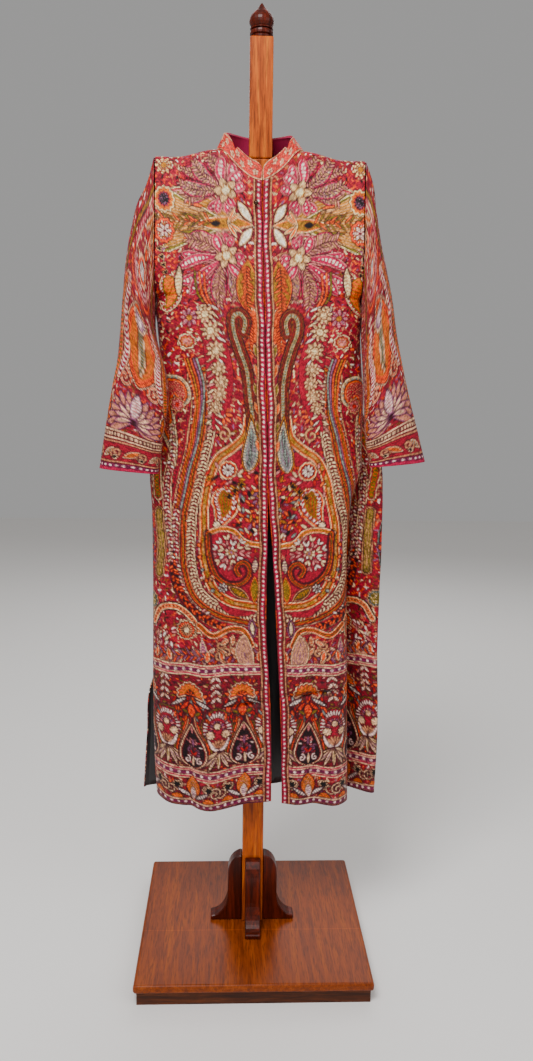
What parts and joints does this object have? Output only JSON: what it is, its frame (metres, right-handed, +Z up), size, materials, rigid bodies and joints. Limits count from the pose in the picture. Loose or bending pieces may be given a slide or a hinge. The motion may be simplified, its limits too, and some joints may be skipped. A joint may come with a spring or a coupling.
{
  "type": "long embroidered jacket on wooden display stand",
  "caption": "Ankle-grazing long-sleeved embroidered jacket with a band collar and open front, hung on a square wooden post with a finial, cross arm, brackets and base.",
  "frame": {"origin": "on the floor, under the middle of the post", "axes": "+Z up the post, the jacket faces -Y, the wearer's right side is at -X"},
  "size_m": [0.588, 0.435, 1.76],
  "materials": {
    "wood": "glossy varnish",
    "embroidered_cloth": "crimson wool covered in multicoloured thread",
    "collar_cloth": "coral cloth with cream flowers",
    "lining": "plain smooth lining",
    "button_metal": "dark polished"
  },
  "bodies": {
    "root": {"base_plinth": "wood", "base_board": "wood", "post_lower": "wood", "post_upper": "wood", "cross_arm": "wood", "finial": "wood", "bracket_front": "wood", "bracket_back": "wood", "bracket_left": "wood", "bracket_right": "wood", "front_right": "embroidered_cloth", "front_left": "embroidered_cloth", "back": "embroidered_cloth", "sleeve_right": "embroidered_cloth", "sleeve_left": "embroidered_cloth", "collar": "collar_cloth", "collar_lining": "lining", "back_lining": "lining", "button": "button_metal"}
  },
  "joints": []
}
